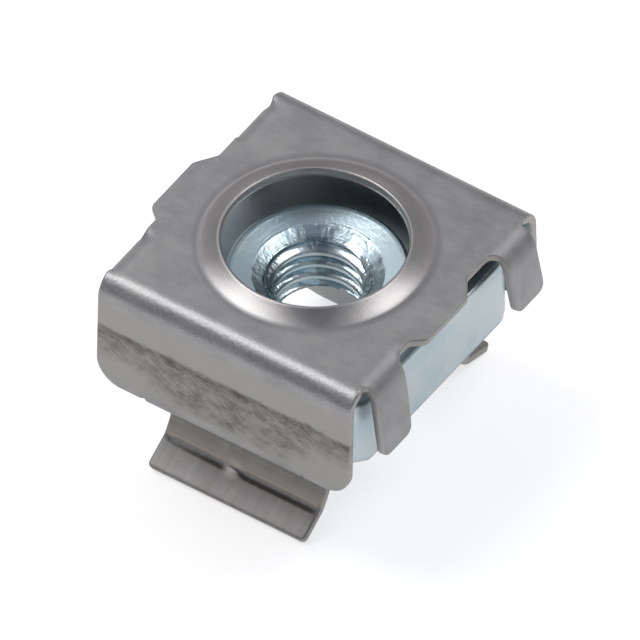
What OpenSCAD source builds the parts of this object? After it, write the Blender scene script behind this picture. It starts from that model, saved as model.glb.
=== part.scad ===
// Rack cage nut: a square threaded nut held loosely in a cage folded from one strip of
// spring steel. The part stands on the lips of its two spring lugs with the round hole of
// the cage on top. +Z is up, X runs along the lugs, and the origin lies in the middle of
// the cage on the surface that it stands on.

/* [Sheet] */
// Thickness of the spring steel strip
sheet_t = 0.45; // [0.4:0.05:0.5]
// Inside radius of the two long shoulder folds
shoulder_r = 0.7; // [0.5:0.05:0.9]

/* [Cage body] */
// Width of the cage along the lugs
cage_w = 14.2; // [13.8:0.1:14.4]
// Depth of the cage over its two shoulder folds
cage_d = 15.5; // [15.3:0.1:15.8]
// Outward lean of the two walls
wall_lean = 1.5; // [0:0.5:2.5]
// Height of the flat roof above the standing surface
roof_z = 11.3; // [11:0.1:11.6]
// Height of the cut bottom edge of the walls above the standing surface
wall_z = 4.9; // [4.7:0.05:5]
// Radius of the lower corners of the walls
wall_corner_r = 1.4; // [1:0.1:1.6]

/* [Roof hole] */
// Radius of the round hole
hole_r = 4.4; // [4.2:0.1:4.5]
// Outer radius of the drawn collar round the hole
collar_r = 5.5; // [5.4:0.1:5.7]
// Height of the collar's rim above the roof
collar_h = 0.5; // [0.3:0.05:0.6]
// Shift of the hole from the middle of the cage, along its depth
hole_shift = -0.15; // [-0.2:0.05:0.2]

/* [Ears] */
// How far each ear stands out past the side of the roof
ear_out = 0.65; // [0.4:0.05:0.7]
// Front and back end of an ear at its root
ear_root = [-2.85, 2.05];
// Front and back end of an ear at its tip
ear_tip = [-2.3, 1.05];

/* [Side tabs] */
// Inside radius of the folds of the side tabs
tab_fold_r = 0.8; // [0.6:0.05:0.9]
// Radius of the corners at the end of a side tab
tab_corner_r = 0.5; // [0.3:0.1:0.7]
// Side tabs: side, front end, back end, start of the fold, fold angle, length on the outside
tabs = [
    [1, -6.25, -3.95, 6.45, 83, 5.2],
    [1, 4.15, 6.4, 6.8, 79, 4.25],
    [-1, -6.4, -4.15, 6.2, 88, 4.9],
    [-1, 3.95, 6.25, 6.15, 88, 5.2],
];

/* [Spring lugs] */
// Width of a lug
lug_w = 8.8; // [8.6:0.1:9]
// Outside distance of a lug's root from the middle of the cage
lug_y = 5.5; // [5.3:0.05:5.6]
// Depth of a flange's underside below the cut bottom edge of its wall
flange_drop = 0.38; // [0.3:0.02:0.5]
// Inside radius of the fold between a wall and its flange
flange_r = 0.2; // [0.15:0.05:0.3]
// Inside radius of the fold between a flange and its lug
lug_root_r = 0.3; // [0.2:0.05:0.4]
// Outward lean of the front lug below its root
front_lean = 6; // [5:1:9]
// Outward lean of the back lug, which is sprung out further
back_lean = 10; // [6:1:12]
// Angle of the flared lip from the upright
lip_angle = 58; // [55:1:65]
// Inside radius of the fold that flares the lip
lip_r = 1.2; // [1:0.1:1.6]
// Length of the straight lip
lip_len = 1.6; // [1.4:0.05:1.7]
// Radius of the pressed creases at the foot of the lip fold
crease_r = 0.2; // [0.15:0.05:0.25]
// Half width of the plain web left between the two creases
web_half = 0.35; // [0.3:0.05:0.5]
// Place of that web along the lug
web_x = -0.5; // [-0.6:0.1:0.6]

/* [Nut] */
// Side of the square nut
nut_w = 13.3; // [13:0.1:13.3]
// Thickness of the nut
nut_h = 4.1; // [4:0.1:4.4]
// Radius of the upright corners of the nut
nut_corner_r = 1.6; // [1:0.1:1.8]
// Radius at which the turned chamfer leaves the bottom face of the nut
corner_cut_r = 8.25; // [8:0.05:8.6]
// Radius of the bore, the inner radius of an M5 thread
bore_r = 2.1; // [2.07:0.01:2.16]
// Mouth radius of the upper countersink
top_sink_r = 3.05; // [2.8:0.05:3.1]
// Depth of the upper countersink
top_sink_h = 0.6; // [0.5:0.05:0.7]
// Mouth radius of the lower countersink
low_sink_r = 2.95; // [2.7:0.05:3]
// Depth of the lower countersink
low_sink_h = 0.85; // [0.6:0.05:0.9]
// Base radius of the crowned seat on top of the nut
seat_r = 4.25; // [4.1:0.05:4.3]
// Height of the crowned seat
seat_h = 0.18; // [0.1:0.02:0.24]
// Place of the loose nut in the cage
nut_at = [0, 0.2];
// Turn of the loose nut about its bore
nut_turn = -1; // [-1.5:0.5:1.5]

/* [Hidden] */
$fn = 64;
shoulder_out = shoulder_r + sheet_t;
flange_out = flange_r + sheet_t;
tab_out = tab_fold_r + sheet_t;
half_w = cage_w / 2;
roof_y = cage_d / 2 - shoulder_out;
flange_z = wall_z - flange_drop;
wall_drop = roof_z - flange_z - shoulder_out * (1 - sin(wall_lean)) - flange_out * (1 + sin(wall_lean));
wall_len = wall_drop / cos(wall_lean);
flange_y = roof_y + (shoulder_out - flange_out) * cos(wall_lean) + wall_len * sin(wall_lean);
lip_corner_r = 0.25;
ear_corner_r = 0.3;
nut_gap = 0.01;
edge_soft = 0.15;
edge_in = 0.1;
lap = 0.02;
seam_step = 0.002;
flat_t = sheet_t - 2 * seam_step;
relief = 0.1;
tab_slit = 0.05;
relief_corner_r = 0.15;
crease_rise = 0.06;
crease_margin = 0.25;
rim_w = 0.12;
rim_drop = 0.1;
cone_foot = 0.3;
seat_slope_w = 0.4;
corner_cut_slope = 0.8;

// Points of the arc that rounds corner b between its neighbours a and c
function corner(a, b, c, r, n = 6) =
    let (
        u = (a - b) / norm(a - b),
        v = (c - b) / norm(c - b),
        half = acos(u * v) / 2,
        m = b + (u + v) / norm(u + v) * r / sin(half),
        p = b + u * r / tan(half) - m,
        q = b + v * r / tan(half) - m,
        sweep = 180 - 2 * half
    )
    [for (i = [0:n]) m + (p * sin(sweep * (1 - i / n)) + q * sin(sweep * i / n)) / sin(sweep)];

// Outline with one radius per corner, where 0 keeps a corner sharp
function rounded(pts, radii) =
    let (n = len(pts))
    [
        for (i = [0:n - 1])
            each radii[i] == 0 ? [pts[i]] : corner(pts[(i + n - 1) % n], pts[i], pts[(i + 1) % n], radii[i])
    ];

// The fold modules below build a strip step by step. Each step starts at the end of the
// step before it, runs along +X with its outer face at z = 0, and carries its children on.

// The flats reach a short lap into the folds beside them and are a seam step thinner on
// both faces, so that each flat ends inside its fold and the strip is one piece.

// Flat end panel, len long and w wide, with radius r at its two free corners
module panel(len, w, r) {
    translate([0, 0, seam_step - sheet_t]) linear_extrude(flat_t)
        polygon(rounded([[-lap, -w / 2], [len, -w / 2], [len, w / 2], [-lap, w / 2]], [0, r, r, 0]));
}

// Straight run of strip with square edges
module run(len, w) {
    translate([-lap, -w / 2, seam_step - sheet_t]) cube([len + 2 * lap, w, flat_t]);
    translate([len, 0, 0]) children();
}

// Bent strip: a quarter tube cut at the fold angle, w wide
module bent(a, r, w) {
    rotate([90, 0, 0]) rotate_extrude(angle = a) translate([r, 0]) square([sheet_t, w]);
}

// Fold away from the outer face by angle a, with r as the radius inside the fold
module fold_in(a, r, w) {
    out = r + sheet_t;
    translate([0, w / 2, -out]) rotate([0, a - 90, 0]) bent(a, r, w);
    translate([out * sin(a), 0, out * (cos(a) - 1)]) rotate([0, a, 0]) children();
}

// Fold towards the outer face by angle a, with r as the radius inside the fold
module fold_out(a, r, w) {
    translate([0, w / 2, r]) rotate([0, 90, 0]) bent(a, r, w);
    translate([r * sin(a), 0, r * (1 - cos(a))]) rotate([0, -a, 0]) children();
}

// Two pressed creases at the foot of the lip fold, one on each side of the plain web
module creases(turn) {
    crease_end = lug_w / 2 - crease_margin;
    translate([lip_r * sin(turn), 0, lip_r * (1 - cos(turn)) + crease_rise])
        for (side = [-1, 1]) {
            inner = web_x + side * web_half;
            outer = side * crease_end;
            translate([0, (inner + outer) / 2, 0])
                rotate([90, 0, 0]) cylinder(h = abs(outer - inner), r = crease_r, center = true, $fn = 24);
        }
}

// Spring lug from the flange down: root fold, leaning leaf, creased lip fold, flared lip.
// The leaf is as long as it needs to be for the lip to reach the standing surface.
module lug(lean) {
    root_drop = lug_root_r * (1 + sin(lean));
    lip_drop = lip_r * (sin(lip_angle) - sin(lean)) + lip_len * cos(lip_angle) + sheet_t * sin(lip_angle);
    fold_out(90 + lean, lug_root_r, lug_w)
        run((flange_z - root_drop - lip_drop) / cos(lean), lug_w)
            difference() {
                fold_out(lip_angle - lean, lip_r, lug_w) panel(lip_len, lug_w, lip_corner_r);
                creases(lip_angle - lean);
            }
}

// Wall below its shoulder fold: its two sides reach past the flange fold between them
module wall_panel() {
    end = wall_len + flange_out - flange_drop;
    slot = lug_w / 2 + relief;
    slot_end = wall_len - relief / 2;
    tongue = wall_len + lap;
    outline = [
        [-lap, -half_w],
        [end, -half_w],
        [end, -slot],
        [slot_end, -slot],
        [slot_end, -lug_w / 2],
        [tongue, -lug_w / 2],
        [tongue, lug_w / 2],
        [slot_end, lug_w / 2],
        [slot_end, slot],
        [end, slot],
        [end, half_w],
        [-lap, half_w],
    ];
    radii = [0, wall_corner_r, relief_corner_r, 0, 0, 0, 0, 0, 0, relief_corner_r, wall_corner_r, 0];
    translate([0, 0, seam_step - sheet_t]) linear_extrude(flat_t) polygon(rounded(outline, radii));
}

// One end of the cage: shoulder fold, wall, flange under the nut, and spring lug
module cage_end(lean) {
    flange_len = flange_y - lug_root_r * cos(lean) - lug_y;
    translate([0, -roof_y, roof_z]) rotate([0, 0, -90])
        fold_in(90 - wall_lean, shoulder_r, cage_w) {
            wall_panel();
            translate([wall_len, 0, 0])
                fold_in(90 + wall_lean, flange_r, lug_w) run(flange_len, lug_w) lug(lean);
        }
}

// Side tab that keeps the nut from sliding out, given its row of the tab list
module side_tab(tab) {
    w = tab[2] - tab[1];
    a = tab[4];
    straight = tab[5] - tab_out * a * PI / 180;
    mirror([tab[0] < 0 ? 1 : 0, 0, 0])
        translate([tab[3], (tab[1] + tab[2]) / 2, roof_z])
            fold_in(a, tab_fold_r, w)
                panel(straight, w, tab_corner_r);
}

// Ear outline on the right side
module ear_outline() {
    polygon(rounded(
        [
            [half_w - 1, ear_root[0]],
            [half_w, ear_root[0]],
            [half_w + ear_out, ear_tip[0]],
            [half_w + ear_out, ear_tip[1]],
            [half_w, ear_root[1]],
            [half_w - 1, ear_root[1]],
        ],
        [0, 0, ear_corner_r, ear_corner_r, 0, 0]
    ));
}

// Flat roof with its two ears, open where the collar and the side tabs continue it
module roof() {
    translate([0, 0, roof_z + seam_step - sheet_t]) linear_extrude(flat_t) difference() {
        union() {
            square([cage_w, 2 * (roof_y + lap)], center = true);
            ear_outline();
            mirror([1, 0]) ear_outline();
        }
        translate([0, hole_shift]) circle(collar_r - lap, $fn = 96);
        for (tab = tabs)
            mirror([tab[0] < 0 ? 1 : 0, 0])
                translate([tab[3] + lap, tab[1] - tab_slit])
                    square([cage_w, tab[2] - tab[1] + 2 * tab_slit]);
    }
}

// Drawn collar: the sheet rises in a cone to the narrow flat rim of the hole
module collar() {
    rim_r = hole_r + rim_w;
    low = collar_h - rim_drop - sheet_t;
    translate([0, hole_shift, roof_z]) rotate_extrude($fn = 96) polygon([
        [collar_r, 0],
        [rim_r + rim_w, collar_h - rim_drop / 2],
        [rim_r, collar_h],
        [hole_r + rim_w / 3, collar_h],
        [hole_r, collar_h - rim_drop],
        [hole_r, low],
        [rim_r, low],
        [collar_r - cone_foot, -sheet_t],
        [collar_r, -sheet_t],
    ]);
}

// Cage: one strip of spring steel, punched, drawn and folded
module cage() {
    color("#8e8f90") union() {
        roof();
        collar();
        for (tab = tabs) side_tab(tab);
        cage_end(front_lean);
        rotate([0, 0, 180]) cage_end(back_lean);
    }
}

// Square of the nut, s smaller all round
module nut_square(s) {
    h = nut_w / 2 - s;
    r = nut_corner_r - s;
    polygon(rounded([[-h, -h], [h, -h], [h, h], [-h, h]], [r, r, r, r]));
}

// Rounded square block of the nut with softened edges and its crowned seat
module nut_block() {
    linear_extrude(edge_soft) nut_square(edge_in);
    translate([0, 0, edge_soft]) linear_extrude(nut_h - 2 * edge_soft) nut_square(0);
    translate([0, 0, nut_h - edge_soft]) linear_extrude(edge_soft) nut_square(edge_in);
    translate([0, 0, nut_h]) cylinder(h = seat_h, r1 = seat_r, r2 = seat_r - seat_slope_w);
}

// Threaded nut: the block with its lower corners turned off, a bore and two countersinks
module nut() {
    top = nut_h + seat_h;
    color("#b9c9cf") translate([nut_at[0], nut_at[1], flange_z + sheet_t + nut_gap]) rotate([0, 0, nut_turn])
        difference() {
            intersection() {
                nut_block();
                cylinder(h = top, r1 = corner_cut_r, r2 = corner_cut_r + top * corner_cut_slope);
            }
            translate([0, 0, -1]) cylinder(h = top + 2, r = bore_r);
            translate([0, 0, top - top_sink_h]) cylinder(h = top_sink_h, r1 = bore_r, r2 = top_sink_r);
            cylinder(h = low_sink_h, r1 = low_sink_r, r2 = bore_r);
        }
}
cage();
nut();
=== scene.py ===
from collections import namedtuple

import bpy
import numpy as np
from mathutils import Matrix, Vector
from mathutils.geometry import delaunay_2d_cdt


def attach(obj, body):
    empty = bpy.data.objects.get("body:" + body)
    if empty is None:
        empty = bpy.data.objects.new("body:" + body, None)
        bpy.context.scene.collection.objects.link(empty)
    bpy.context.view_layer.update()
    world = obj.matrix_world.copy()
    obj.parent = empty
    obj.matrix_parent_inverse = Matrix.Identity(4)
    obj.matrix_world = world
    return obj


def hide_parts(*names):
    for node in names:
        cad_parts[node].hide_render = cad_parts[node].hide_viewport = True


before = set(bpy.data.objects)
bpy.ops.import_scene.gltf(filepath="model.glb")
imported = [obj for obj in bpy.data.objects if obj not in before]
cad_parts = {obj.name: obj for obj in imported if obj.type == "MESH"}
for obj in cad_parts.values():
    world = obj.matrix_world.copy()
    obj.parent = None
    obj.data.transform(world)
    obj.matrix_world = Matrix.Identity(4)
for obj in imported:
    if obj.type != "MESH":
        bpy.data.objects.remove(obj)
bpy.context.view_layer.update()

# ---------------------------------------------------------------- camera
# The part is small, so it is taken from far off with parallel rays: the view goes
# down onto the roof over the right end of the front lug.
mm = 0.001
camera_turn = np.radians(34.3)
camera_height = np.radians(46.0)
camera_aim = np.array([-0.014, 0.257, 5.9]) * mm
camera_far = 200 * mm
picture_w = 29.77 * mm
camera_back = np.array([
    np.sin(camera_turn) * np.cos(camera_height),
    -np.cos(camera_turn) * np.cos(camera_height),
    np.sin(camera_height),
])

lens = bpy.data.cameras.new("camera")
lens.type = "ORTHO"
lens.ortho_scale = picture_w
lens.clip_start = 1 * mm
lens.clip_end = 4.0
camera = bpy.data.objects.new("camera", lens)
camera.location = Vector(camera_aim + camera_back * camera_far)
camera.rotation_mode = "QUATERNION"
camera.rotation_quaternion = Vector(camera_back).to_track_quat("Z", "Y")
bpy.context.scene.collection.objects.link(camera)
bpy.context.scene.camera = camera
bpy.context.scene.view_settings.view_transform = "Standard"


# ---------------------------------------------------------------- floor and light
# A plain white sheet under two soft boxes hung high, one at the left and one at the
# right behind, with a small card low behind on the left. The room is a dim even grey,
# and a nearly black band overhead between the boxes puts the dark streaks in the metal.
class Shade:
    """A value in a shader: a socket that adds a Math node when it meets an operator."""

    def __init__(self, tree, socket=None):
        self.tree = tree
        self.socket = socket

    def node(self, kind, settings=None, inputs=None, out=0):
        """Adds any node: its settings first, then the values or links of its sockets."""
        made = self.tree.nodes.new(kind)
        for name, value in (settings or {}).items():
            setattr(made, name, value)
        for name, value in (inputs or {}).items():
            if isinstance(value, Shade):
                self.tree.links.new(value.socket, made.inputs[name])
            else:
                made.inputs[name].default_value = value
        return Shade(self.tree, made.outputs[out]) if len(made.outputs) else None

    def math(self, operation, first, second=0.0):
        """Adds a Math node on one or two numbers."""
        return self.node("ShaderNodeMath", {"operation": operation}, {0: first, 1: second})

    def __add__(self, other):
        return self.math("ADD", self, other)

    def __sub__(self, other):
        return self.math("SUBTRACT", self, other)

    def __rsub__(self, other):
        return self.math("SUBTRACT", other, self)

    def __mul__(self, other):
        return self.math("MULTIPLY", self, other)

    def __abs__(self):
        return self.math("ABSOLUTE", self)

    __radd__, __rmul__ = __add__, __mul__

    def vector(self, operation, other=(0, 0, 0), out=0):
        """Adds a Vector Math node, whose out 0 is a vector and whose out 1 is a number."""
        return self.node("ShaderNodeVectorMath", {"operation": operation}, {0: self, 1: other}, out)

    def dot(self, direction):
        """How far this vector reaches in a direction."""
        return self.vector("DOT_PRODUCT", direction, out=1)

    def turned(self, angle):
        """This vector turned about Z."""
        about_z = {"rotation_type": "Z_AXIS"}
        return self.node("ShaderNodeVectorRotate", about_z, {"Vector": self, "Angle": angle})

    def axis(self, index):
        """One of the three parts of a vector."""
        return self.node("ShaderNodeSeparateXYZ", {}, {0: self}, out=index)

    def noise(self, stretch, detail=3.0, fine=0.5):
        """Noise from 0 to 1 over a place vector, after a stretch along each axis."""
        place = self.vector("MULTIPLY", stretch)
        return self.node("ShaderNodeTexNoise", {}, {
            "Vector": place, "Scale": 1.0, "Detail": detail, "Roughness": fine})

    def step(self, low, high):
        """Rises smoothly from 0 at low to 1 at high, or falls where low is above high."""
        ends = {"Value": self, "From Min": min(low, high), "From Max": max(low, high)}
        rise = self.node("ShaderNodeMapRange", {"interpolation_type": "SMOOTHSTEP"}, ends)
        return rise if high > low else 1 - rise

    def mix(self, first, second):
        """Blends two colours, with this value as the share of the second."""
        first, second = [end if isinstance(end, Shade) else (*end, 1) for end in (first, second)]
        sockets = {0: self, 6: first, 7: second}
        return self.node("ShaderNodeMix", {"data_type": "RGBA"}, sockets, out=2)


def new_material(name):
    """Gives an empty node material and the shade that adds nodes to it."""
    material = bpy.data.materials.new(name)
    material.use_nodes = True
    material.node_tree.nodes.clear()
    return material, Shade(material.node_tree)


def new_object(name, points, faces):
    """Puts an array of points and a list of faces into a mesh object at the origin."""
    mesh = bpy.data.meshes.new(name)
    mesh.from_pydata(points.tolist(), [], faces)
    mesh.validate()
    made = bpy.data.objects.new(name, mesh)
    bpy.context.scene.collection.objects.link(made)
    return made


floor_half = 1.5
floor_drop = 0.02 * mm
floor_points = np.array([[-1, -1, 0], [1, -1, 0], [1, 1, 0], [-1, 1, 0]]) * floor_half
floor = new_object("floor", floor_points - [0, 0, floor_drop], [(0, 1, 2, 3)])
floor_white, shade = new_material("floor_white")
paper = shade.node("ShaderNodeBsdfDiffuse", {}, {"Color": (0.86, 0.86, 0.86, 1)})


def glowing_paper(strength):
    """The paper with a little white light of its own added."""
    glow = shade.node("ShaderNodeEmission", {}, {"Color": (1, 1, 1, 1), "Strength": strength})
    return shade.node("ShaderNodeAddShader", {}, {0: paper, 1: glow})


glow_to_metal = 0.24
glow_to_camera = 0.60
camera_ray = shade.node("ShaderNodeLightPath")
floor_look = shade.node("ShaderNodeMixShader", {}, {
    0: camera_ray, 1: glowing_paper(glow_to_metal), 2: glowing_paper(glow_to_camera)})
shade.node("ShaderNodeOutputMaterial", {}, {"Surface": floor_look})
floor.data.materials.append(floor_white)


def soft_box(name, place, size, power):
    """Hangs a square lamp at a place in metres, turned to the part, with a power in watts."""
    lamp = bpy.data.lights.new(name, "AREA")
    lamp.shape = "SQUARE"
    lamp.size = size
    lamp.energy = power
    made = bpy.data.objects.new(name, lamp)
    made.location = place
    made.rotation_mode = "QUATERNION"
    made.rotation_quaternion = Vector(place).to_track_quat("Z", "Y")
    bpy.context.scene.collection.objects.link(made)


soft_box("left_light", (-0.23, -0.075, 0.43), 0.25, 0.58)
soft_box("right_light", (0.175, 0.195, 0.425), 0.20, 0.37)
soft_box("back_card", (-0.095, 0.070, 0.10), 0.075, 0.009)

world = bpy.data.worlds.new("room")
world.use_nodes = True
world.node_tree.nodes.clear()
shade = Shade(world.node_tree)
room_grey = (0.29, 0.295, 0.305)
ceiling_grey = (0.42, 0.415, 0.425)
band_blue = (0.07, 0.08, 0.11)
white = (1, 1, 1)
ray = shade.node("ShaderNodeTexCoord")
ceiling = ray.dot((-0.39, 0.57, 0.72)).step(0.55, 0.98)
across = ray.dot((0.83, 0.56, 0.0))
toward = ray.dot((0.56, -0.83, 0.0))
band = abs(across).step(0.30, 0.10) * toward.step(-0.40, -0.15) * ray.axis(2).step(0.3, 0.5)
sky = band.mix(ceiling.mix(room_grey, ceiling_grey), band_blue)
camera_ray = shade.node("ShaderNodeLightPath")
room = shade.node("ShaderNodeBackground", {}, {"Color": camera_ray.mix(sky, white), "Strength": 1.0})
shade.node("ShaderNodeOutputWorld", {}, {"Surface": room})
bpy.context.scene.world = world

# ---------------------------------------------------------------- cage
# One strip of spring steel, 0.45 mm thick: punched to a flat blank with its hole, ears
# and side tabs, drawn up in a collar round the hole, and folded on a press tool into
# roof, walls, flanges and two spring lugs. The cut edges keep a slight roll.
Lug = namedtuple("Lug", "lean lip_turn lip_r lip_len")
Tab = namedtuple("Tab", "side front back fold_x turn length")

# Sheet, roof and walls
sheet_t = 0.45
cage_w = 14.2
cage_d = 15.5
roof_z = 11.3
shoulder_r = 0.7
wall_lean = np.radians(1.5)
wall_z = 4.9
wall_corner_r = 1.4
edge_roll = 0.1
# Hole and collar
hole_r = 4.4
hole_y = -0.15
hole_roll = 0.14
collar_r = 5.55
collar_h = 0.5
collar_hollow = 1.25
# Ears, with the front and back ends of their root and of their tip
ear_out = 0.65
ear_root = (-2.85, 2.05)
ear_tip = (-2.3, 1.05)
ear_corner_r = 0.3
# Side tabs, and the notches at their roots on the side of the ears
tabs = [
    Tab(1, -6.25, -3.95, 6.45, np.radians(83), 5.2),
    Tab(1, 4.15, 6.4, 6.8, np.radians(79), 4.25),
    Tab(-1, -6.4, -4.15, 6.2, np.radians(88), 4.9),
    Tab(-1, 3.95, 6.25, 6.15, np.radians(88), 5.2),
]
tab_fold_r = 0.8
tab_corner_r = 0.5
tab_root_r = 0.25
tab_ease = 0.55
near_notch = 0.05
near_notch_r = 0.5
far_notch = 0.1
far_notch_r = 0.65
# Flanges, and the lugs of the front and the back
flange_drop = 0.38
flange_r = 0.2
lug_w = 8.8
lug_y = 5.5
lug_root_r = 0.3
lugs = [
    Lug(np.radians(6.0), np.radians(58.0), 1.2, 1.6),
    Lug(np.radians(4.0), np.radians(73.0), 0.8, 1.72),
]
lip_corner_r = 0.25
# The slits that free the flange from the wall beside it
relief = 0.1
relief_len = 0.2
relief_corner_r = 0.04
relief_end_r = 0.15
# The lip's two bends, the crease pressed in where the lip starts, and the web across it
bend_r = 0.35
crease_half = 0.24
crease_depth = 0.12
crease_margin = 0.1
crease_ease = 0.35
web_x = -0.5
web_half = 0.15
web_ease = 0.5
web_slant = 0.6
web_rise = 0.10

half_w = cage_w / 2
shoulder_out = shoulder_r + sheet_t
flange_out = flange_r + sheet_t
tab_out = tab_fold_r + sheet_t
roof_y = cage_d / 2 - shoulder_out
flange_z = wall_z - flange_drop
wall_drop = (roof_z - flange_z - shoulder_out * (1 - np.sin(wall_lean))
             - flange_out * (1 + np.sin(wall_lean)))
wall_len = wall_drop / np.cos(wall_lean)
flange_y = (roof_y + (shoulder_out - flange_out) * np.cos(wall_lean)
            + wall_len * np.sin(wall_lean))


def end_chain(lug):
    """Lengths and turns of the outer face from the middle of the roof to the lip's end.

    An arc's length is its radius times its turn. The leaf takes the height that is left
    between the flange and the floor.
    """
    root_drop = lug_root_r * (1 + np.sin(lug.lean))
    lip_drop = (lug.lip_r * (np.sin(lug.lip_turn) - np.sin(lug.lean))
                + lug.lip_len * np.cos(lug.lip_turn) + sheet_t * np.sin(lug.lip_turn))
    shoulder = np.pi / 2 - wall_lean
    flange = np.pi / 2 + wall_lean
    root = np.pi / 2 + lug.lean
    half_turn = (lug.lip_turn - lug.lean) / 2
    roof_and_wall = [
        (roof_y, 0),
        (shoulder_out * shoulder, shoulder),
        (wall_len, 0),
    ]
    flange_and_leaf = [
        (flange_out * flange, flange),
        (flange_y - lug_root_r * np.cos(lug.lean) - lug_y, 0),
        (lug_root_r * root, -root),
        ((flange_z - root_drop - lip_drop) / np.cos(lug.lean), 0),
    ]
    two_bends = [
        (bend_r * half_turn, -half_turn),
        (2 * (lug.lip_r - bend_r) * np.sin(half_turn), 0),
        (bend_r * half_turn, -half_turn),
    ]
    return np.array(roof_and_wall + flange_and_leaf + two_bends + [(lug.lip_len, 0)])


def tab_chain(tab):
    """Lengths and turns of the outer face from the middle of the roof to a tab's end."""
    fold_len = tab_out * tab.turn
    return np.array([(tab.fold_x, 0), (fold_len, tab.turn), (tab.length - fold_len, 0)])


def follow(chain, s):
    """Place and heading at length s along a chain of flats and folds.

    The heading turns evenly along each piece, so the step from the start of a piece is
    the chord of its arc: ds * sinc(turn / 2), laid at the start's heading plus half the
    turn. Gives the distance out, the distance down, and the heading below the level.
    """
    ends = np.concatenate([[0], np.cumsum(chain[:, 0])])
    heads = np.concatenate([[0], np.cumsum(chain[:, 1])])
    middle = (heads[:-1] + heads[1:]) / 2
    chord = chain[:, 0] * np.sinc(chain[:, 1] / 2 / np.pi)
    outs = np.concatenate([[0], np.cumsum(chord * np.cos(middle))])
    downs = np.concatenate([[0], np.cumsum(chord * np.sin(middle))])
    k = np.clip(np.searchsorted(ends, s, side="right") - 1, 0, len(chain) - 1)
    ds = s - ends[k]
    turn = ds * chain[k, 1] / chain[k, 0]
    step = ds * np.sinc(turn / 2 / np.pi)
    aim = heads[k] + turn / 2
    return outs[k] + step * np.cos(aim), downs[k] + step * np.sin(aim), heads[k] + turn


def ease(x):
    """Smooth rise from 0 to 1 while x goes from 0 to 1: 3 x squared less 2 x cubed."""
    x = np.clip(x, 0, 1)
    return x * x * (3 - 2 * x)


# Lengths along the blank from the middle of the roof, at the front and at the back: to
# the flange's fold, to the crease at the lip's start, and to the lip's end
front_chain, back_chain = [end_chain(lug) for lug in lugs]
fold_s = front_chain[:3, 0].sum()
crease_s = [chain[:-1, 0].sum() for chain in (front_chain, back_chain)]
end_s = [chain[:, 0].sum() for chain in (front_chain, back_chain)]


def outer_face(u, v):
    """Outer face of the folded cage at the blank's place u across and v along, in mm.

    Along v the face follows the chain of its end. Beside the flange folds the wall runs
    straight on. On a side tab it follows the tab's chain across u instead, and the roof
    next to the tab eases down to it. The collar rises with a power of the distance in
    from its foot. The crease of each lug presses the face in along its normal, deepest
    on its middle line, and the web across it stands out.
    """
    s = np.abs(v)
    side = np.sign(v)
    beside = np.abs(u) > lug_w / 2 + relief / 2
    held = np.where(beside, np.minimum(s, fold_s), s)
    out_f, down_f, head_f = follow(front_chain, held)
    out_b, down_b, head_b = follow(back_chain, held)
    front = v < 0
    head = np.where(front, head_f, head_b)
    out = np.where(front, out_f, out_b) + (s - held) * np.cos(head)
    down = np.where(front, down_f, down_b) + (s - held) * np.sin(head)
    x, y, z = u.copy(), side * out, roof_z - down

    for tab in tabs:
        share = ease(1 + (v - tab.front) / tab_ease) * ease(1 + (tab.back - v) / tab_ease)
        share = share * (np.abs(u) > tab.fold_x) * (np.sign(u) == tab.side)
        tab_x, tab_down, _ = follow(tab_chain(tab), np.abs(u))
        x = x + share * (tab.side * tab_x - x)
        z = z - share * tab_down

    rise = (collar_r - np.hypot(u, v - hole_y)) / (collar_r - hole_r - hole_roll)
    z = z + collar_h * np.clip(rise, 0, 1) ** collar_hollow * (s < roof_y)

    past = s - np.where(front, crease_s[0], crease_s[1])
    lug_x = u * np.where(front, 1, -1)
    off_web = ease((np.abs(lug_x - web_x - web_slant * past) - web_half) / web_ease)
    off_edge = ease((lug_w / 2 - crease_margin - np.abs(lug_x)) / crease_ease)
    near = np.clip(1 - np.abs(past) / crease_half, 0, 1)
    press = near * (crease_depth * off_web * off_edge - web_rise * (1 - off_web))
    y = y - side * np.sin(head) * press
    z = z - np.cos(head) * press
    return np.stack([x, y, z], -1)


def face_normal(u, v, h=2e-3):
    """Outward unit normal of the outer face: the cross product of its two slopes."""
    across = outer_face(u + h, v) - outer_face(u - h, v)
    along = outer_face(u, v + h) - outer_face(u, v - h)
    normal = np.cross(across, along)
    return normal / np.linalg.norm(normal, axis=1, keepdims=True)


def arc_corner(before, at, after, r, spacing=0.06):
    """Points of the arc of radius r that rounds a corner.

    The arc's middle lies on the corner's bisector, and its radius swings evenly from the
    one side's tangent point to the other: weights sin(sweep * (1 - t)) and sin(sweep * t).
    """
    a = (before - at) / np.linalg.norm(before - at)
    b = (after - at) / np.linalg.norm(after - at)
    half = np.arccos(np.clip(a @ b, -1, 1)) / 2
    middle = at + (a + b) / np.linalg.norm(a + b) * r / np.sin(half)
    start = at + a * r / np.tan(half) - middle
    stop = at + b * r / np.tan(half) - middle
    sweep = np.pi - 2 * half
    t = np.linspace(0, 1, max(4, int(sweep * r / spacing)))[:, None]
    swing = start * np.sin(sweep * (1 - t)) + stop * np.sin(sweep * t)
    return middle + swing / np.sin(sweep)


def round_outline(corners, spacing=0.14):
    """Closed outline from rows of x, y and corner radius, with points evenly spaced."""
    corners = np.array(corners, float)
    at, radii = corners[:, :2], corners[:, 2]
    rows = zip(np.roll(at, 1, 0), at, np.roll(at, -1, 0), radii)
    loop = np.concatenate([arc_corner(*row) for row in rows])
    after = np.roll(loop, -1, 0)
    counts = np.ceil(np.linalg.norm(after - loop, axis=1) / spacing).astype(int)
    return np.concatenate([
        a + (b - a) * np.arange(n)[:, None] / n
        for a, b, n in zip(loop, after, np.maximum(1, counts))])


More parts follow.
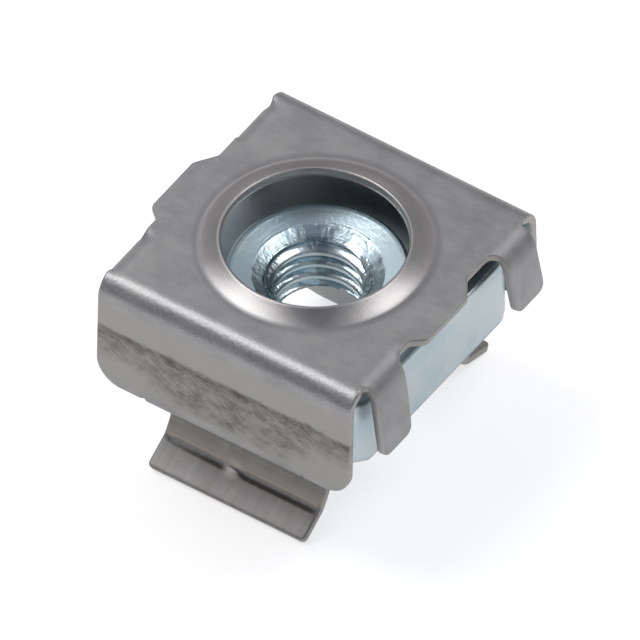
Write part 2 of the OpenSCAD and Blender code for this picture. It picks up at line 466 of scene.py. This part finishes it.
def side_outline(side):
    """Corners of the blank's edge on one side, from the front lip to the back lip."""
    near, far = [tab for tab in tabs if tab.side == side]
    near_end, far_end = near.fold_x + near.length, far.fold_x + far.length
    foot = fold_s + flange_out - flange_drop
    lug, slit = lug_w / 2, lug_w / 2 + relief
    slit_s = fold_s + relief_len
    notch = half_w - far_notch
    rows = [
        (lug, -end_s[0], lip_corner_r),
        (lug, -slit_s, relief_corner_r),
        (slit, -slit_s, relief_corner_r),
        (slit, -foot, relief_end_r),
        (half_w, -foot, wall_corner_r),
        (half_w, near.front, tab_root_r),
        (near_end, near.front, tab_corner_r),
        (near_end, near.back, tab_corner_r),
        (half_w, near.back + near_notch, near_notch_r),
        (half_w, ear_root[0], ear_corner_r),
        (half_w + ear_out, ear_tip[0], ear_corner_r),
        (half_w + ear_out, ear_tip[1], ear_corner_r),
        (notch, ear_root[1] + far_notch, ear_corner_r),
        (notch, far.front, far_notch_r),
        (far_end, far.front, tab_corner_r),
        (far_end, far.back, tab_corner_r),
        (half_w, far.back, tab_root_r),
        (half_w, foot, wall_corner_r),
        (slit, foot, relief_end_r),
        (slit, slit_s, relief_corner_r),
        (lug, slit_s, relief_corner_r),
        (lug, end_s[1], lip_corner_r),
    ]
    return [(side * x, y, r) for x, y, r in rows]


def inward(loop, depth):
    """The loop moved to its left by a depth, each point along its own bisector.

    The step is the depth over the cosine of half the loop's turn at the point, so that
    both of its sides move in by the depth.
    """
    ahead = np.roll(loop, -1, 0) - loop
    ahead /= np.linalg.norm(ahead, axis=1, keepdims=True)
    bisector = ahead + np.roll(ahead, 1, 0)
    bisector /= np.linalg.norm(bisector, axis=1, keepdims=True)
    left = np.stack([-bisector[:, 1], bisector[:, 0]], -1)
    cosine = np.maximum((bisector * ahead).sum(1), 0.5)
    return loop + left * (depth / cosine)[:, None]


def inside(points, loops):
    """True where a ray to the right of a point crosses the loops an odd number of times."""
    odd = np.zeros(len(points), bool)
    for loop in loops:
        for a, b in zip(loop, np.roll(loop, -1, 0)):
            rows = (a[1] > points[:, 1]) != (b[1] > points[:, 1])
            cross = a[0] + (points[rows, 1] - a[1]) * (b[0] - a[0]) / (b[1] - a[1])
            odd[rows] ^= points[rows, 0] < cross
    return odd


def level(flat, height):
    """Flat points, all given one height."""
    return np.column_stack([flat, np.full(len(flat), height)])


def quarter_round(roll):
    """Gap from the edge, roll * (1 - sin b), and depth under the face, roll * (1 - cos b),
    at four bends b of a rolled edge."""
    bend = np.radians([22.5, 45, 67.5, 90])
    return list(zip(roll * (1 - np.sin(bend)), roll * (1 - np.cos(bend))))


hole_turns = np.linspace(0, 2 * np.pi, 240, endpoint=False)


def hole_circles(radii, turns):
    """Points on circles about the hole's middle, one for each pair of radius and turn."""
    radius, turn = [part.ravel() for part in np.meshgrid(radii, turns)]
    return np.stack([radius * np.cos(turn), radius * np.sin(turn) + hole_y], -1)


def blank_places(loops, rolls):
    """Places inside the blank: rings on the collar, and round them a square grid with
    closer rows along the creases, all kept a margin away from the rolled edges."""
    grid_step, crease_step, ring_step, margin = 0.2, 0.05, 0.08, 0.07
    crease_band = np.arange(-0.35, 0.36, crease_step)
    rows = np.unique(np.round(np.concatenate([
        np.arange(-end_s[0], end_s[1], grid_step),
        crease_s[1] + crease_band,
        -crease_s[0] + crease_band,
    ]), 3))
    rows = rows[np.concatenate([[True], np.diff(rows) > 0.03])]
    reach = max(tab.fold_x + tab.length for tab in tabs)
    columns = np.arange(-reach, reach, grid_step)
    grid = np.stack(np.meshgrid(columns, rows), -1).reshape(-1, 2)
    rings = np.arange(hole_r + hole_roll + ring_step, collar_r + 0.3, ring_step)
    grid = grid[np.hypot(grid[:, 0], grid[:, 1] - hole_y) > rings[-1] + 0.1]
    places = np.concatenate([hole_circles(rings, hole_turns), grid])
    edges = [inward(loop, roll + margin) for loop, roll in zip(loops, rolls)]
    return places[inside(places, edges)]


def folded_sheet(name):
    """Closed mesh of the cage.

    The blank is filled with triangles once, between its edge loops moved in by the edge
    roll, and is used for the outer face and, a sheet's thickness along the normal below
    it, for the inner face. Round each loop a quarter-round profile, a straight cut and a
    second quarter round join the two faces.
    """
    rolls = [edge_roll, hole_roll]
    edge = round_outline(side_outline(1) + side_outline(-1)[::-1])
    loops = [edge, hole_circles([hole_r], -hole_turns)]
    rims = [inward(loop, roll) for loop, roll in zip(loops, rolls)]
    flat = np.concatenate(rims + [blank_places(loops, rolls)])
    starts = [0, len(edge)]
    stops = [len(edge), len(edge) + len(hole_turns)]
    sides = []
    for start, stop in zip(starts, stops):
        sides += [(i, i + 1) for i in range(start, stop - 1)] + [(stop - 1, start)]
    valid_faces, tolerance = 4, 1e-9
    filled = delaunay_2d_cdt([Vector(p) for p in flat.tolist()], sides, [], valid_faces, tolerance)
    assert len(filled[0]) == len(flat)
    triangles = np.array(filled[2])
    in_hole = (triangles >= starts[1]) & (triangles < stops[1])
    triangles = triangles[~in_hole.all(1)]

    outer = outer_face(*flat.T)
    inner = outer - sheet_t * face_normal(*flat.T)
    points = [outer, inner]
    faces = [triangles, triangles[:, ::-1] + len(flat)]
    blank = [level(flat, 0), level(flat, sheet_t)]
    count = 2 * len(flat)
    for loop, start, roll in zip(loops, starts, rolls):
        top = quarter_round(roll)
        low = [(gap, sheet_t - depth) for gap, depth in top[::-1]]
        around = np.arange(len(loop))
        last = start + around
        for gap, depth in top + low:
            place = inward(loop, gap)
            points.append(outer_face(*place.T) - depth * face_normal(*place.T))
            blank.append(level(place, depth))
            this = count + around
            faces.append(np.stack([last, this, np.roll(this, -1), np.roll(last, -1)], -1))
            last, count = this, count + len(loop)
        foot = len(flat) + start + around
        faces.append(np.stack([last, foot, np.roll(foot, -1), np.roll(last, -1)], -1))
    all_faces = [face for part in faces for face in part.tolist()]
    made = new_object(name, np.concatenate(points) * mm, all_faces)
    place = made.data.attributes.new("blank", "FLOAT_VECTOR", "POINT")
    place.data.foreach_set("vector", np.concatenate(blank).ravel())
    made.data.shade_smooth()
    return made


cage = folded_sheet("cage_sheet")


def bare_metal(shade, colour, rough, height):
    """Metal with a colour and a roughness, and a fine bump that follows a height."""
    bump = shade.node("ShaderNodeBump", {}, {"Height": height, "Strength": 0.35, "Distance": 0.02 * mm})
    look = shade.node("ShaderNodeBsdfPrincipled", {}, {
        "Base Color": colour, "Metallic": 1.0, "Roughness": rough, "Normal": bump})
    shade.node("ShaderNodeOutputMaterial", {}, {"Surface": look})


# The steel's marks are laid out on the flat blank, in mm: its place across, its place
# along, and the depth under the outer face.
spring_steel, shade = new_material("spring_steel")
blank = shade.node("ShaderNodeAttribute", {"attribute_name": "blank"}, out=1)
across, along, depth = [blank.axis(index) for index in range(3)]
length, width = abs(along), abs(across)
ring = blank.vector("MULTIPLY", (1, 1, 0)).vector("LENGTH", out=1)
back_end = along.step(-1, 1)
on_roof = length.step(6.8, 6.2)
on_fold = length.step(6.5, 7.1) * length.step(8.4, 7.9)
on_wall = length.step(8.3, 8.8) * length.step(13.3, 12.9)
on_lug = length.step(13.6, 14.2)
on_tab = width.step(6.1, 6.6) * width.step(9.0, 8.3) * on_roof
on_collar = ring.step(5.6, 5.45)
# painted shade: a darker ring in the crease round the collar's foot
painted_shade_round_collar = ring.step(5.4, 5.6) * ring.step(6.0, 5.65) * on_roof
cut_edge = depth.step(0.03, 0.1) * depth.step(0.43, 0.36)
# painted light: the inner face made paler, standing in for light inside the cage
painted_light_inside = depth.step(0.4, 0.44)

cloud = blank.noise((0.45, 0.45, 0.45), 5.0)
patch = blank.noise((0.55, 1.0, 1.0), 7.0)
smear = blank.noise((0.9, 1.7, 1.0), 9.0, 0.68)
grain = blank.noise((3.0, 3.6, 3.0), 8.0, 0.75)
speck = blank.noise((6.5, 6.5, 6.5), 1.0)
streak = blank.noise((2.4, 0.35, 2.0), 7.0)
hairline = blank.turned(0.55).noise((0.6, 12.0, 1.0)).step(0.55, 0.66)
crossing = blank.turned(-0.9).noise((0.8, 14.0, 1.0)).step(0.58, 0.68)
mottle = (0.5 * cloud + 0.5 * smear).step(0.38, 0.62)

# The scuffed band of each wall: straight at its top, ragged and fuller in the middle below
bulge = across.step(-5.2, -2.2) * across.step(5.8, 3.0)
worn_top = (length + 0.6 * (patch - 0.5)).step(9.9, 10.25)
worn_foot = (length + 2.4 * (patch - 0.5) - 1.5 * bulge).step(12.3, 10.4)
worn = on_wall * worn_top * worn_foot
border = length.step(9.8, 10.1) * length.step(10.9, 10.2)
scuff = worn * (0.30 + 0.6 * smear.step(0.36, 0.64) + 1.1 * (grain - 0.5) + 0.35 * border)
scuff = scuff * (1 - 0.4 * hairline) * (1 - 0.4 * crossing)

# The lug: painted shade on its top under the flange, and painted highlights on the band just above the
# crease and on the web across it
past = length - crease_s[0] - (crease_s[1] - crease_s[0]) * back_end
beside_web = across + web_x * (2 * back_end - 1)
# painted highlight on the band just above the crease
painted_highlight_above_crease = past.step(-1.0, -0.4) * past.step(-0.05, -0.25)
# painted shade: the lug made darker towards the flange above it
painted_shade_under_wall = on_lug * past.step(-0.7, -1.3)
# painted highlight on the raised web across the crease
painted_highlight_on_web = abs(beside_web).step(0.6, 0.0) * abs(past).step(0.6, 0.0)

colour = mottle.mix((0.378, 0.374, 0.380), (0.462, 0.457, 0.458))
for share, tint in (
    (0.8 * on_wall, (0.43, 0.423, 0.400)),
    (0.8 * scuff, (0.165, 0.150, 0.128)),
    (0.3 * worn * hairline, (0.50, 0.49, 0.46)),
    (on_lug * (0.34 + 0.8 * (streak - 0.5)), (0.23, 0.207, 0.175)),
    # painted shade on the lug's top under the flange
    (0.55 * painted_shade_under_wall, (0.19, 0.172, 0.150)),
    # painted highlight on the band above the crease
    (0.75 * painted_highlight_above_crease, (0.58, 0.53, 0.46)),
    # painted highlight on the web
    (painted_highlight_on_web, (0.92, 0.88, 0.82)),
    # painted shade round the collar's foot
    (0.5 * painted_shade_round_collar, (0.24, 0.24, 0.25)),
    (0.5 * on_collar, (0.50, 0.48, 0.47)),
    # painted glints: paler specks along the folds
    (0.5 * on_fold * speck.step(0.45, 0.75), (0.60, 0.60, 0.59)),
    # painted light on the inner face
    (0.7 * painted_light_inside, (0.56, 0.57, 0.56)),
    (0.7 * cut_edge, (0.60, 0.585, 0.55)),
):
    colour = share.mix(colour, tint)
rough = (0.31 + 0.08 * cloud + 0.07 * (smear - 0.5) + 0.10 * grain + 0.14 * scuff
         + 0.12 * on_tab + 0.08 * on_lug - 0.07 * on_collar + 0.14 * cut_edge)
height = ((0.5 + 1.0 * on_fold + 0.8 * on_tab) * speck + 0.5 * grain
          + 0.5 * streak * on_lug + 0.35 * hairline * worn)
bare_metal(shade, colour, rough, height)
cage.data.materials.append(spring_steel)
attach(cage, "root")
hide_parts("cage")

# ---------------------------------------------------------------- nut
# A square nut pressed from bar, tapped M5 and plated with bright zinc: rounded upright
# corners turned off at the foot, a dished seat on top, and a countersink at each end of
# the thread. It lies loose on the flanges, tipped up a little from its front foot edge.
nut_w = 13.3
nut_h = 4.1
nut_roll = 0.16
nut_corner_r = 1.6
corner_cut_r = 8.45
corner_cut_slope = 0.8
# Thread and countersinks
bore_r = 2.1
thread_pitch = 0.8
thread_depth = 0.4
top_sink_r = 3.15
top_sink_h = 0.6
low_sink_r = 2.95
low_sink_h = 0.85
# Seat, with its rim in steps out from the seat's radius and up from the nut's top
seat_r = 4.25
seat_h = 0.18
dish_r = 4.12
dish_h = 0.24
seat_rim = [(-0.09, seat_h), (-0.05, seat_h - 0.015), (-0.02, seat_h - 0.06),
            (0, 0.03), (0.03, 0), (0.1, 0)]
# How it lies in the cage
nut_at = (0.0, 0.2)
nut_z = flange_z + sheet_t + 0.01
nut_turn = np.radians(-1.0)
nut_tip = np.radians(1.5)


def thread_radius(turn, z):
    """Radius of the tapped wall: a helix whose crests lie at the bore and whose roots lie
    a thread's depth outside it, with flat crests and flanks at 60 degrees. The share of
    a pitch at a place is z over the pitch, less the turn as a share of a whole turn."""
    share = np.mod(z / thread_pitch - turn / (2 * np.pi), 1)
    saw = np.abs(2 * share - 1)
    return bore_r + thread_depth * ease((saw - 0.22) / 0.68)


def nut_rows(outline):
    """Rows of points up the bore, out over the seat and the top, down the side and back
    under, with one column for each point of the outline.

    The bore's radius is the largest of the thread and the two countersink cones, so the
    thread runs out into them. On the flat faces the rows go evenly from a circle to the
    outline's rim.
    """
    turn = np.arctan2(outline[:, 1], outline[:, 0])
    circle = np.stack([np.cos(turn), np.sin(turn)], -1)
    rim = inward(outline, nut_roll)
    dish_z = nut_h + seat_h - dish_h

    z = np.linspace(0, dish_z, 150)[:, None]
    low_cone = low_sink_r - (low_sink_r - bore_r) * z / low_sink_h
    top_cone = top_sink_r - (top_sink_r - bore_r) * (dish_z - z) / top_sink_h
    bore = np.maximum(thread_radius(turn[None], z), np.maximum(low_cone, top_cone))
    rows = [level(circle * radius[:, None], height) for radius, height in zip(bore, z[:, 0])]
    for share in np.linspace(0.05, 1, 9):
        radius = top_sink_r + (dish_r - top_sink_r) * share
        rows.append(level(circle * radius, dish_z + dish_h * share))
    for out, up in seat_rim:
        rows.append(level(circle * (seat_r + out), nut_h + up))
    for share in np.linspace(0.1, 1, 10):
        flat = circle * (seat_r + seat_rim[-1][0]) * (1 - share) + rim * share
        rows.append(level(flat, nut_h))
    for gap, depth in quarter_round(nut_roll):
        rows.append(level(inward(outline, gap), nut_h - depth))
    for height in np.linspace(nut_h - nut_roll, nut_roll, 26)[1:]:
        rows.append(level(outline, height))
    for gap, depth in quarter_round(nut_roll)[::-1]:
        rows.append(level(inward(outline, gap), depth))
    rows.append(level(rim, 0))
    for share in np.linspace(0.9, 0.08, 9):
        rows.append(level(circle * low_sink_r * (1 - share) + rim * share, 0))
    return np.stack(rows)


def threaded_block(name):
    """Closed mesh of the nut.

    Its rows are held within the cone that turns off the lower corners: no radius is more
    than the cut's radius at the foot plus its slope times the height. They are then
    turned, set down on the flanges and tipped about the front foot edge.
    """
    half = nut_w / 2
    corners = [(half, -half), (half, half), (-half, half), (-half, -half)]
    grid = nut_rows(round_outline([(x, y, nut_corner_r) for x, y in corners], 0.2))
    most = corner_cut_r + grid[..., 2] * corner_cut_slope
    radius = np.hypot(grid[..., 0], grid[..., 1])
    grid[..., :2] *= np.minimum(1, most / radius)[..., None]
    swing = np.array([[np.cos(nut_turn), np.sin(nut_turn)], [-np.sin(nut_turn), np.cos(nut_turn)]])
    grid[..., :2] = grid[..., :2] @ swing + nut_at
    front = nut_at[1] - half
    out, up = grid[..., 1] - front, grid[..., 2].copy()
    grid[..., 1] = front + out * np.cos(nut_tip) - up * np.sin(nut_tip)
    grid[..., 2] = nut_z + out * np.sin(nut_tip) + up * np.cos(nut_tip)

    rows, columns = grid.shape[:2]
    index = np.arange(rows * columns).reshape(rows, columns)
    over, beside = np.roll(index, -1, 0), np.roll(index, -1, 1)
    faces = np.stack([index, over, np.roll(over, -1, 1), beside], -1).reshape(-1, 4)
    made = new_object(name, grid.reshape(-1, 3) * mm, faces.tolist())
    made.data.shade_smooth()
    return made


nut = threaded_block("square_nut")

# The zinc's marks go by the distance from the thread's axis, in mm.
zinc, shade = new_material("bright_zinc")
axis_y = nut_at[1] - nut_h * np.sin(nut_tip)
place = shade.node("ShaderNodeTexCoord", out=3)
place = place.vector("SUBTRACT", (nut_at[0] * mm, axis_y * mm, 0)).vector("MULTIPLY", (1 / mm,) * 3)
flat_place = place.vector("MULTIPLY", (1, 1, 0))
ring = flat_place.vector("LENGTH", out=1)
rings = shade.node("ShaderNodeCombineXYZ", {}, {2: ring})
on_seat = ring.step(4.3, 4.15) * ring.step(2.2, 2.5)
on_cone = ring.step(3.2, 3.1) * ring.step(2.1, 2.3)
in_bore = ring.step(2.7, 2.5)
groove = rings.noise((1.0, 1.0, 6.0), 4.0)
chatter = flat_place.vector("NORMALIZE").vector("ADD", rings).noise((9.0, 9.0, 1.6), 5.0)
cloud = place.noise((0.5, 0.5, 0.5), 5.0)
patch = place.noise((0.9, 0.9, 0.9)).step(0.42, 0.6)
speck = place.noise((5.0, 5.0, 5.0), 2.0)
colour = cloud.step(0.35, 0.65).mix((0.60, 0.72, 0.78), (0.71, 0.79, 0.815))
colour = (0.6 * on_seat).mix(colour, (0.57, 0.73, 0.82))
rough = 0.32 + 0.10 * cloud - 0.16 * in_bore - 0.12 * on_seat + 0.12 * speck * on_seat
height = (speck * (0.5 + 0.5 * on_seat) + 2.0 * groove * on_seat
          + chatter * on_cone * (0.6 + 4.5 * patch))
bare_metal(shade, colour, rough, height)
nut.data.materials.append(zinc)
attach(nut, "root")
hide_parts("nut")
